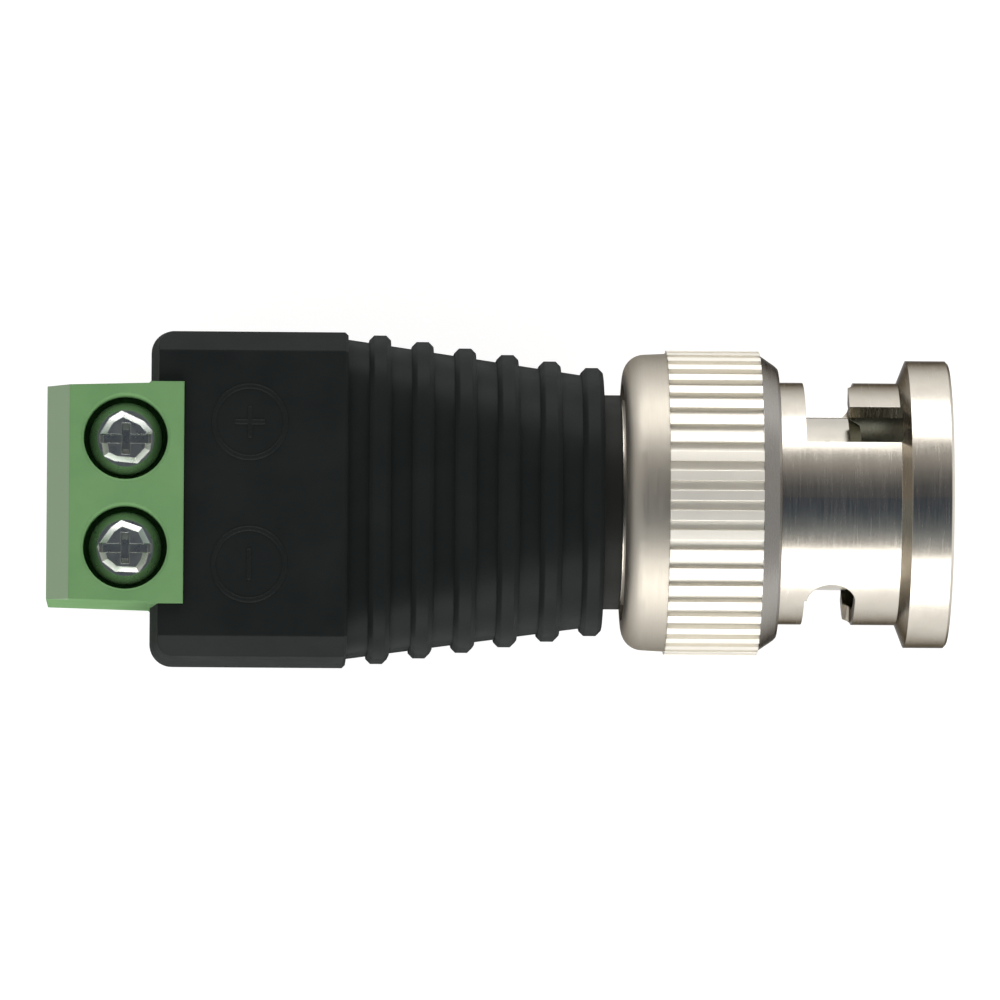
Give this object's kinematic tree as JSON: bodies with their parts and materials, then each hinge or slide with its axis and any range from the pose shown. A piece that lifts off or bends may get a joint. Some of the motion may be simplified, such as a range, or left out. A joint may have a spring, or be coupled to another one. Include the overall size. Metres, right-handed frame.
{
  "type": "bnc screw terminal adapter",
  "caption": "Adapter from a two-pole screw terminal block to a male bayonet coaxial plug, in a ribbed black moulding with a knurled metal coupling nut.",
  "frame": {"origin": "middle of the whole length and width, at the lowest line of the coupling nut", "axes": "+X along the plug's axis, out of the plug; +Z the side that the terminal screws are turned from"},
  "size_m": [0.042, 0.0158, 0.0143],
  "materials": {
    "black_moulding": "satin moulded",
    "green_plastic": "fine matt moulded",
    "nickel_plated_brass": "satin nickel plate",
    "contact_brass": "bright nickel plate",
    "gold_plated_brass": "gold plate",
    "zinc_plated_steel": "zinc plate",
    "spring_steel": "bright",
    "white_insulator": "waxy",
    "seal_rubber": "matt",
    "tinned_copper": "tinned",
    "red_insulation": "satin",
    "black_insulation": "satin"
  },
  "bodies": {
    "adapter": {"housing": "black_moulding", "terminal_block": "green_plastic", "terminal_strip_plus": "contact_brass", "terminal_strip_minus": "contact_brass", "centre_lead": "tinned_copper", "ground_lead": "tinned_copper", "centre_jacket": "red_insulation", "ground_jacket": "black_insulation", "plug_body": "nickel_plated_brass", "outer_contact": "contact_brass", "insulator": "white_insulator", "centre_contact": "gold_plated_brass", "gasket": "seal_rubber", "wave_washer": "spring_steel"},
    "nut_carrier": {"thrust_washer": "spring_steel"},
    "nut": {"coupling_nut": "nickel_plated_brass", "retaining_ring": "spring_steel"},
    "screw_plus": {"terminal_screw_plus": "zinc_plated_steel"},
    "screw_minus": {"terminal_screw_minus": "zinc_plated_steel"},
    "cage_plus": {"clamp_cage_plus": "zinc_plated_steel"},
    "cage_minus": {"clamp_cage_minus": "zinc_plated_steel"}
  },
  "joints": [
    {"name": "nut_draw", "type": "slide", "parent": "adapter", "child": "nut_carrier", "axis": [1, 0, 0], "range_m": [0, 0.0006], "stiffness_N_per_m": 8000, "springref_m": -0.0005, "deforming": ["wave_washer"]},
    {"name": "nut_turn", "type": "hinge", "parent": "nut_carrier", "child": "nut", "pos_m": [0.01, 0, 0.00713], "axis": [1, 0, 0], "continuous": true},
    {"name": "screw_turn_plus", "type": "hinge", "parent": "adapter", "child": "screw_plus", "pos_m": [-0.01738, 0.00254, 0.00713], "axis": [0, 0, -1], "range_deg": [0, 1440]},
    {"name": "cage_rise_plus", "type": "slide", "parent": "adapter", "child": "cage_plus", "axis": [0, 0, 1], "range_m": [0, 0.0018]},
    {"name": "screw_turn_minus", "type": "hinge", "parent": "adapter", "child": "screw_minus", "pos_m": [-0.01738, -0.00254, 0.00713], "axis": [0, 0, -1], "range_deg": [0, 1440]},
    {"name": "cage_rise_minus", "type": "slide", "parent": "adapter", "child": "cage_minus", "axis": [0, 0, 1], "range_m": [0, 0.0018]}
  ],
  "couplings": [
    {"joint": "screw_turn_plus", "follows": "cage_rise_plus", "rad_per_m": 13963},
    {"joint": "screw_turn_minus", "follows": "cage_rise_minus", "rad_per_m": 13963}
  ]
}
